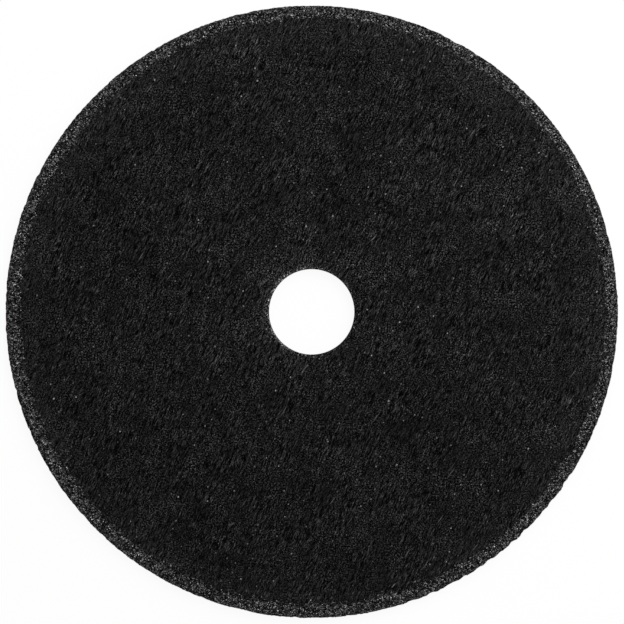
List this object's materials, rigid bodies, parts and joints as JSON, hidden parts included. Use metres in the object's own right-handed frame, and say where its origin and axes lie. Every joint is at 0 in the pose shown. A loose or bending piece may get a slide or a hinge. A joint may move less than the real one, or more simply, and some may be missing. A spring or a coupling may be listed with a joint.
{
  "type": "cut-off wheel",
  "caption": "Thin flat abrasive cutting disc with a plain arbor hole, a black fibre facing on each side and a bare gritty rim.",
  "frame": {"origin": "centre of the arbor hole on the lower face, which rests on the surface", "axes": "+Z along the wheel's axis of rotation, out of the upper face; X and Y lie in the plane of the wheel"},
  "size_m": [0.115, 0.115, 0.0016],
  "materials": {
    "bonded_abrasive": "matt black fibre facing over dark grit, with a coarse grey-flecked rim"
  },
  "bodies": {
    "root": {"cut_off_wheel": "bonded_abrasive"}
  },
  "joints": []
}
